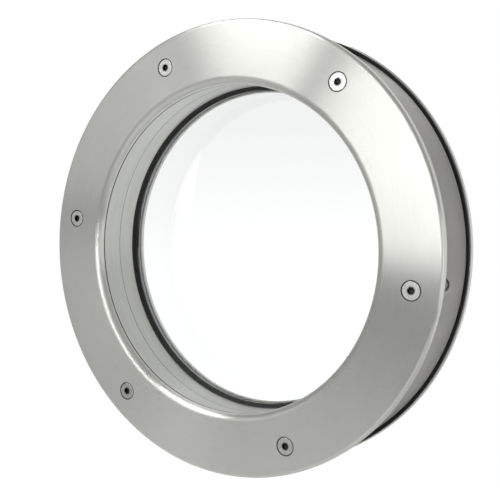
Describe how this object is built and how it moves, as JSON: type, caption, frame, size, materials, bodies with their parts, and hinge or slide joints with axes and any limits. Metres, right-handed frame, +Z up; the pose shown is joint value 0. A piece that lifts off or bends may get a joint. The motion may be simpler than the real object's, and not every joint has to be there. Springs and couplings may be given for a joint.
{
  "type": "porthole window",
  "caption": "Round porthole window for a door leaf: two pressed steel flanges, a tubular collar and a clear glass pane, clamped through the leaf by countersunk socket screws.",
  "frame": {"origin": "on the window's axis, half way between the two flange faces", "axes": "+Y along the axis from the screwed front to the rear, +Z up, +X to the right as seen from the front"},
  "size_m": [0.3, 0.0552, 0.3],
  "materials": {
    "brushed_flange": "circular fine brushed stainless steel",
    "turned_collar": "fine turned stainless steel",
    "screw_steel": "bright tumbled stainless steel",
    "gasket_rubber": "matt black extruded rubber",
    "seal_rubber": "matt black moulded rubber",
    "pale_tape": "pale grey closed-cell foam tape",
    "clear_glass": "clear toughened glass, polished edge"
  },
  "bodies": {
    "root": {"front_flange": "brushed_flange", "rear_flange": "brushed_flange", "front_collar": "turned_collar", "rear_collar": "turned_collar", "glass_retainer": "turned_collar", "glazing_gasket": "gasket_rubber", "bedding_tape": "pale_tape", "glass_pane": "clear_glass", "front_door_seal": "seal_rubber", "rear_door_seal": "seal_rubber", "screw_1": "screw_steel", "screw_2": "screw_steel", "screw_3": "screw_steel", "screw_4": "screw_steel", "screw_5": "screw_steel", "screw_6": "screw_steel", "sleeve_nut_1": "screw_steel", "sleeve_nut_2": "screw_steel", "sleeve_nut_3": "screw_steel", "sleeve_nut_4": "screw_steel", "sleeve_nut_5": "screw_steel", "sleeve_nut_6": "screw_steel"}
  },
  "joints": []
}
